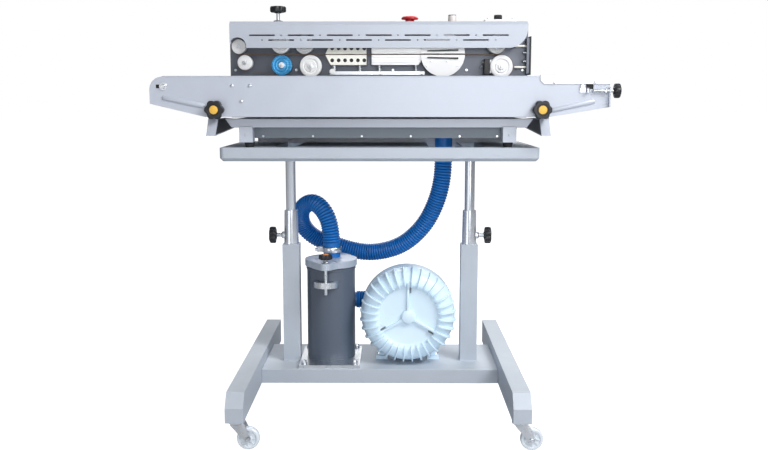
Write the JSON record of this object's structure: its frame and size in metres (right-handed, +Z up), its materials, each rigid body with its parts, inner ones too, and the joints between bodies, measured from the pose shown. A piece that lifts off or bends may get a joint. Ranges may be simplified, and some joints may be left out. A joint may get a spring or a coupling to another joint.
{
  "type": "continuous band sealer on a stand",
  "caption": "Continuous band heat sealer with a belt conveyor, carried by a height-adjustable castered stand with a ring blower, filter canister and suction hose.",
  "frame": {"origin": "on the floor, below the middle of the whole machine's bounding box", "axes": "+X along the conveyor to its discharge end, +Y to the back of the machine, +Z up"},
  "size_m": [1.022, 0.647, 0.946],
  "materials": {
    "stand_paint": "satin",
    "chrome": "polished",
    "machine_paint": "satin",
    "head_paint": "satin",
    "black_plastic": "matt",
    "zinc": "zinc plated",
    "caster_plastic": "translucent white",
    "rubber": "matt",
    "white_plastic": "gloss",
    "blue_anodised": "anodised",
    "ptfe": "woven glass",
    "brass": "milled",
    "aluminium": "cast and turned",
    "belt_green": "matt",
    "canister_paint": "semi-gloss",
    "filter_felt": "felt",
    "blower_paint": "gloss",
    "motor_iron": "painted",
    "hose_blue": "corrugated",
    "red_plastic": "gloss"
  },
  "bodies": {
    "stand": {"base_beam": "stand_paint", "blower_cover": "blower_paint", "blower_housing": "blower_paint", "canister_body": "canister_paint", "canister_filter": "filter_felt", "canister_lid": "aluminium", "canister_mount": "zinc", "columns": "stand_paint", "feet": "stand_paint", "link_hose": "hose_blue", "main_hose": "hose_blue", "sleeves": "chrome"},
    "table": {"inner_tubes": "chrome", "shelf": "stand_paint", "chassis": "machine_paint", "rubber_feet": "rubber", "conveyor_brackets": "machine_paint", "head_panel": "head_paint", "head_housing": "head_paint", "drive_unit": "motor_iron", "guard": "machine_paint", "bands": "ptfe", "heating_blocks": "brass", "cooling_blocks": "aluminium", "block_rail": "zinc", "coder_cover": "white_plastic"},
    "conveyor": {"conveyor_frame": "machine_paint", "conveyor_belt": "belt_green", "discharge_guard": "white_plastic"},
    "column_knob_left": {"column_knob_left": "black_plastic"},
    "column_knob_right": {"column_knob_right": "black_plastic"},
    "star_knob_left": {"star_knob_left": "black_plastic"},
    "star_knob_right": {"star_knob_right": "black_plastic"},
    "tension_knob": {"tension_knob": "black_plastic"},
    "caster_fork_front_left": {"caster_fork_front_left": "zinc"},
    "caster_wheel_front_left": {"caster_wheel_front_left": "caster_plastic"},
    "caster_fork_front_right": {"caster_fork_front_right": "zinc"},
    "caster_wheel_front_right": {"caster_wheel_front_right": "caster_plastic"},
    "caster_fork_back_left": {"caster_fork_back_left": "zinc"},
    "caster_wheel_back_left": {"caster_wheel_back_left": "caster_plastic"},
    "caster_fork_back_right": {"caster_fork_back_right": "zinc"},
    "caster_wheel_back_right": {"caster_wheel_back_right": "caster_plastic"},
    "feed_wheel": {"feed_wheel": "blue_anodised"},
    "lower_idler": {"lower_idler": "white_plastic"},
    "press_wheel": {"press_wheel": "white_plastic"},
    "lower_end_wheel": {"lower_end_wheel": "white_plastic"},
    "upper_idler": {"upper_idler": "white_plastic"},
    "upper_feed_wheel": {"upper_feed_wheel": "white_plastic"},
    "upper_press_wheel": {"upper_press_wheel": "white_plastic"},
    "upper_end_wheel": {"upper_end_wheel": "white_plastic"},
    "coding_wheel": {"coding_wheel": "white_plastic"},
    "conveyor_roller_left": {"conveyor_roller_left": "aluminium"},
    "conveyor_roller_right": {"conveyor_roller_right": "aluminium"},
    "stop_button": {"stop_button": "red_plastic"},
    "fine_knob": {"fine_knob": "black_plastic"},
    "pressure_knob": {"pressure_knob": "black_plastic"},
    "speed_dial": {"speed_dial": "black_plastic"},
    "power_switch": {"power_switch": "black_plastic"},
    "blower_impeller": {"blower_impeller": "blower_paint"},
    "canister_knob": {"canister_knob": "black_plastic"}
  },
  "joints": [
    {"name": "table_height", "type": "slide", "parent": "stand", "child": "table", "axis": [0, 0, 1], "range_m": [-0.08, 0.09], "deforming": ["main_hose"]},
    {"name": "conveyor_height", "type": "slide", "parent": "table", "child": "conveyor", "axis": [0, 0, 1], "range_m": [0, 0.03]},
    {"name": "column_knob_left_turn", "type": "hinge", "parent": "stand", "child": "column_knob_left", "pos_m": [-0.261, 0.0385, 0.404], "axis": [1, 0, 0], "range_deg": [-180, 180]},
    {"name": "column_knob_right_turn", "type": "hinge", "parent": "stand", "child": "column_knob_right", "pos_m": [0.239, 0.0385, 0.404], "axis": [1, 0, 0], "range_deg": [-180, 180]},
    {"name": "star_knob_left_turn", "type": "hinge", "parent": "conveyor", "child": "star_knob_left", "pos_m": [-0.368, -0.1315, 0.703], "axis": [0, 1, 0], "range_deg": [-180, 180]},
    {"name": "star_knob_right_turn", "type": "hinge", "parent": "conveyor", "child": "star_knob_right", "pos_m": [0.341, -0.1315, 0.703], "axis": [0, 1, 0], "range_deg": [-180, 180]},
    {"name": "tension_knob_turn", "type": "hinge", "parent": "conveyor", "child": "tension_knob", "pos_m": [0.489, -0.126, 0.744], "axis": [1, 0, 0], "range_deg": [-180, 180]},
    {"name": "caster_swivel_front_left", "type": "hinge", "parent": "stand", "child": "caster_fork_front_left", "pos_m": [-0.307, -0.2915, 0.06], "axis": [0, 0, 1], "continuous": true},
    {"name": "caster_roll_front_left", "type": "hinge", "parent": "caster_fork_front_left", "child": "caster_wheel_front_left", "pos_m": [-0.283, -0.2915, 0.024], "axis": [0, 1, 0], "continuous": true},
    {"name": "caster_swivel_front_right", "type": "hinge", "parent": "stand", "child": "caster_fork_front_right", "pos_m": [0.285, -0.2915, 0.06], "axis": [0, 0, 1], "continuous": true},
    {"name": "caster_roll_front_right", "type": "hinge", "parent": "caster_fork_front_right", "child": "caster_wheel_front_right", "pos_m": [0.309, -0.2915, 0.024], "axis": [0, 1, 0], "continuous": true},
    {"name": "caster_swivel_back_left", "type": "hinge", "parent": "stand", "child": "caster_fork_back_left", "pos_m": [-0.307, 0.2935, 0.06], "axis": [0, 0, 1], "continuous": true},
    {"name": "caster_roll_back_left", "type": "hinge", "parent": "caster_fork_back_left", "child": "caster_wheel_back_left", "pos_m": [-0.283, 0.2935, 0.024], "axis": [0, 1, 0], "continuous": true},
    {"name": "caster_swivel_back_right", "type": "hinge", "parent": "stand", "child": "caster_fork_back_right", "pos_m": [0.285, 0.2935, 0.06], "axis": [0, 0, 1], "continuous": true},
    {"name": "caster_roll_back_right", "type": "hinge", "parent": "caster_fork_back_right", "child": "caster_wheel_back_right", "pos_m": [0.309, 0.2935, 0.024], "axis": [0, 1, 0], "continuous": true},
    {"name": "feed_wheel_spin", "type": "hinge", "parent": "table", "child": "feed_wheel", "pos_m": [-0.242, 0.0385, 0.8052], "axis": [0, 1, 0], "continuous": true},
    {"name": "lower_idler_spin", "type": "hinge", "parent": "table", "child": "lower_idler", "pos_m": [-0.3281, 0.0385, 0.8113], "axis": [0, 1, 0], "continuous": true},
    {"name": "press_wheel_spin", "type": "hinge", "parent": "table", "child": "press_wheel", "pos_m": [-0.1739, 0.0385, 0.8033], "axis": [0, 1, 0], "continuous": true},
    {"name": "lower_end_wheel_spin", "type": "hinge", "parent": "table", "child": "lower_end_wheel", "pos_m": [0.2731, 0.0385, 0.8023], "axis": [0, 1, 0], "continuous": true},
    {"name": "upper_idler_spin", "type": "hinge", "parent": "table", "child": "upper_idler", "pos_m": [-0.3416, 0.0385, 0.8482], "axis": [0, 1, 0], "continuous": true},
    {"name": "upper_feed_wheel_spin", "type": "hinge", "parent": "table", "child": "upper_feed_wheel", "pos_m": [-0.243, 0.0385, 0.8532], "axis": [0, 1, 0], "continuous": true},
    {"name": "upper_press_wheel_spin", "type": "hinge", "parent": "table", "child": "upper_press_wheel", "pos_m": [-0.1883, 0.0385, 0.8532], "axis": [0, 1, 0], "continuous": true},
    {"name": "upper_end_wheel_spin", "type": "hinge", "parent": "table", "child": "upper_end_wheel", "pos_m": [0.2606, 0.0385, 0.8532], "axis": [0, 1, 0], "continuous": true},
    {"name": "coding_wheel_spin", "type": "hinge", "parent": "table", "child": "coding_wheel", "pos_m": [0.135, 0.0385, 0.8502], "axis": [0, 1, 0], "continuous": true},
    {"name": "conveyor_roller_left_spin", "type": "hinge", "parent": "conveyor", "child": "conveyor_roller_left", "pos_m": [-0.481, 0.0385, 0.7535], "axis": [0, 1, 0], "continuous": true},
    {"name": "conveyor_roller_right_spin", "type": "hinge", "parent": "conveyor", "child": "conveyor_roller_right", "pos_m": [0.429, 0.0385, 0.7535], "axis": [0, 1, 0], "continuous": true},
    {"name": "stop_button_press", "type": "slide", "parent": "table", "child": "stop_button", "axis": [0, 0, -1], "range_m": [0, 0.004], "stiffness_N_per_m": 1500},
    {"name": "fine_knob_turn", "type": "hinge", "parent": "table", "child": "fine_knob", "pos_m": [0.274, 0.1385, 0.917], "axis": [0, 0, 1], "range_deg": [-180, 180]},
    {"name": "pressure_knob_turn", "type": "hinge", "parent": "table", "child": "pressure_knob", "pos_m": [-0.2557, 0.1025, 0.932], "axis": [0, 0, 1], "range_deg": [-180, 180]},
    {"name": "speed_dial_turn", "type": "hinge", "parent": "table", "child": "speed_dial", "pos_m": [-0.071, 0.2285, 0.85], "axis": [0, 1, 0], "range_deg": [0, 270]},
    {"name": "power_switch_rock", "type": "hinge", "parent": "table", "child": "power_switch", "pos_m": [-0.011, 0.2215, 0.85], "axis": [1, 0, 0], "range_deg": [0, 14]},
    {"name": "blower_spin", "type": "hinge", "parent": "stand", "child": "blower_impeller", "pos_m": [0.0555, 0.0385, 0.2186], "axis": [0, 1, 0], "continuous": true},
    {"name": "canister_knob_turn", "type": "hinge", "parent": "stand", "child": "canister_knob", "pos_m": [-0.138, -0.022, 0.355], "axis": [0, 0, 1], "range_deg": [-180, 180]}
  ],
  "couplings": [
    {"joint": "lower_idler_spin", "follows": "feed_wheel_spin", "ratio": 1.3486},
    {"joint": "press_wheel_spin", "follows": "feed_wheel_spin", "ratio": 0.92549},
    {"joint": "lower_end_wheel_spin", "follows": "feed_wheel_spin", "ratio": 0.89057},
    {"joint": "upper_idler_spin", "follows": "feed_wheel_spin", "ratio": -1.3882},
    {"joint": "upper_feed_wheel_spin", "follows": "feed_wheel_spin", "ratio": -1.0727},
    {"joint": "upper_press_wheel_spin", "follows": "feed_wheel_spin", "ratio": -1.0727},
    {"joint": "upper_end_wheel_spin", "follows": "feed_wheel_spin", "ratio": -1.0727},
    {"joint": "coding_wheel_spin", "follows": "feed_wheel_spin", "ratio": -1.2421},
    {"joint": "conveyor_roller_left_spin", "follows": "feed_wheel_spin", "ratio": 1.18},
    {"joint": "conveyor_roller_right_spin", "follows": "feed_wheel_spin", "ratio": 1.18}
  ]
}
